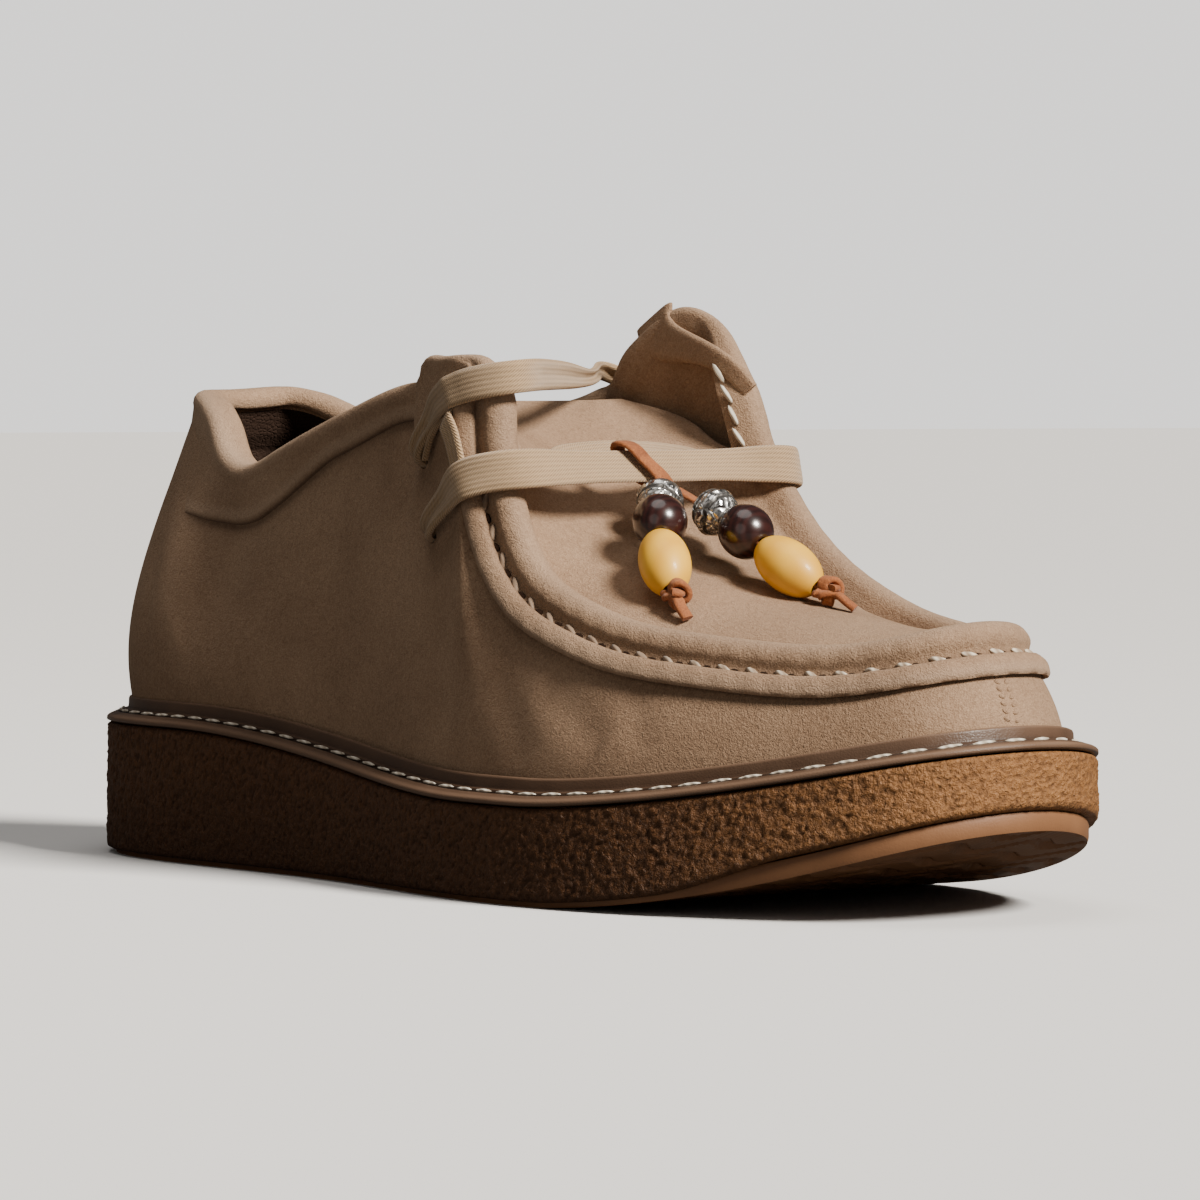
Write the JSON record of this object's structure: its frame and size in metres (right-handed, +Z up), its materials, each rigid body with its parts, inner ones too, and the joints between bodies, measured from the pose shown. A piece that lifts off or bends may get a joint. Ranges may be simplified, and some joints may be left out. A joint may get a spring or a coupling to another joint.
{
  "type": "derby shoe",
  "caption": "Right derby shoe in suede with a moccasin apron, crepe wedge sole, flat laces crossing the tongue and a beaded leather thong.",
  "frame": {"origin": "on the ground under the middle of the sole's box", "axes": "+X along the foot towards the toe, +Y towards the inner (medial) side of this right shoe, +Z up"},
  "size_m": [0.272, 0.0994, 0.1152],
  "materials": {
    "suede": "taupe suede with a fine nap",
    "crepe_rubber": "rough-grained caramel crepe rubber",
    "tread_rubber": "smoother brown rubber tread",
    "welt_leather": "polished brown leather with pale stitching",
    "lining_leather": "matte brown lining leather",
    "lace_cotton": "flat woven beige cotton lace",
    "thong_leather": "rust-brown leather thong",
    "silver_metal": "worn silver-coloured metal",
    "dark_wood": "polished dark wood",
    "yellow_horn": "glossy pale yellow resin"
  },
  "bodies": {
    "root": {"outsole": "tread_rubber", "midsole": "crepe_rubber", "welt": "welt_leather", "insole": "lining_leather", "upper": "suede", "tongue": "suede", "lace_lower": "lace_cotton", "lace_upper": "lace_cotton", "thong_loop": "thong_leather", "strand_lateral": "thong_leather", "bead_silver_lateral": "silver_metal", "bead_dark_lateral": "dark_wood", "bead_yellow_lateral": "yellow_horn", "knot_lateral": "thong_leather", "strand_medial": "thong_leather", "bead_silver_medial": "silver_metal", "bead_dark_medial": "dark_wood", "bead_yellow_medial": "yellow_horn", "knot_medial": "thong_leather"}
  },
  "joints": []
}
